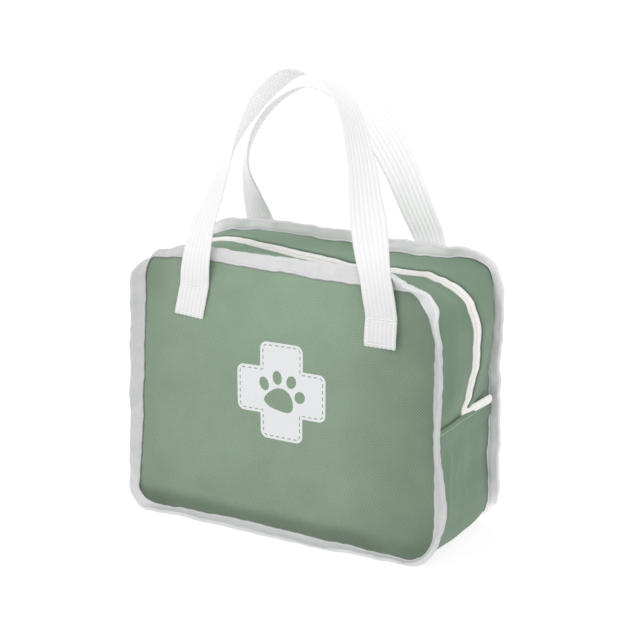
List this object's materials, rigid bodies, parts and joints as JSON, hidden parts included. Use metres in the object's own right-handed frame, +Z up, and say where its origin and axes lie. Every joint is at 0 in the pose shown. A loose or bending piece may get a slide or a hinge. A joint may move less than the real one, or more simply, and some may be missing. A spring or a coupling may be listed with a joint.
{
  "type": "toy doctor case",
  "caption": "Soft canvas toy doctor case with bound seams, a zip over the top, a front that folds open and two webbing handles.",
  "frame": {"origin": "centre of the footprint, on the surface the case stands on", "axes": "+Z up, +X to the case's right, the front panel faces -Y"},
  "size_m": [0.25, 0.1094, 0.3286],
  "materials": {
    "canvas": "sage green woven canvas, matt",
    "binding": "white twill binding tape, matt",
    "webbing": "white ribbed polypropylene webbing",
    "zip_tape": "off-white woven zip tape",
    "zip_coil": "off-white nylon coil",
    "thread": "white sewing thread",
    "green_thread": "green sewing thread",
    "slider": "off-white enamelled zinc"
  },
  "bodies": {
    "case": {"back_panel": "canvas", "back_binding": "binding", "lower_gusset": "canvas", "front_panel_lower": "canvas", "front_binding_lower": "binding", "zip_strip_back": "canvas", "zip_tape_back": "zip_tape", "zip_coil_back": "zip_coil", "zip_tail": "zip_tape", "hem_stitching": "green_thread", "back_handle_end_left": "webbing", "back_handle_end_right": "webbing", "back_handle_stitching": "thread"},
    "front_flap": {"front_panel_upper": "canvas", "front_binding_upper": "binding", "zip_strip_front": "canvas", "zip_tape_front": "zip_tape", "zip_coil_front": "zip_coil", "front_handle_end_left": "webbing", "front_handle_end_right": "webbing", "front_handle_stitching": "thread"},
    "front_handle": {"front_handle_loop": "webbing"},
    "back_handle": {"back_handle_loop": "webbing"},
    "zip_slider": {"slider_body": "slider", "slider_bail": "slider"},
    "pull": {"zip_pull": "slider"}
  },
  "joints": [
    {"name": "front_opening", "type": "hinge", "parent": "case", "child": "front_flap", "pos_m": [0, -0.0516, 0.094], "axis": [1, 0, 0], "range_deg": [0, 40]},
    {"name": "front_handle_swing", "type": "hinge", "parent": "front_flap", "child": "front_handle", "pos_m": [0, -0.0541, 0.175], "axis": [1, 0, 0], "range_deg": [0, 165]},
    {"name": "back_handle_swing", "type": "hinge", "parent": "case", "child": "back_handle", "pos_m": [0, 0.0541, 0.175], "axis": [1, 0, 0], "range_deg": [-165, 0]},
    {"name": "zip_slide", "type": "slide", "parent": "case", "child": "zip_slider", "axis": [0, 0, 1], "range_m": [0, 0.062]},
    {"name": "pull_swing", "type": "hinge", "parent": "zip_slider", "child": "pull", "pos_m": [-0.1172, 0, 0.0989], "axis": [0, 1, 0], "range_deg": [0, 170]}
  ]
}
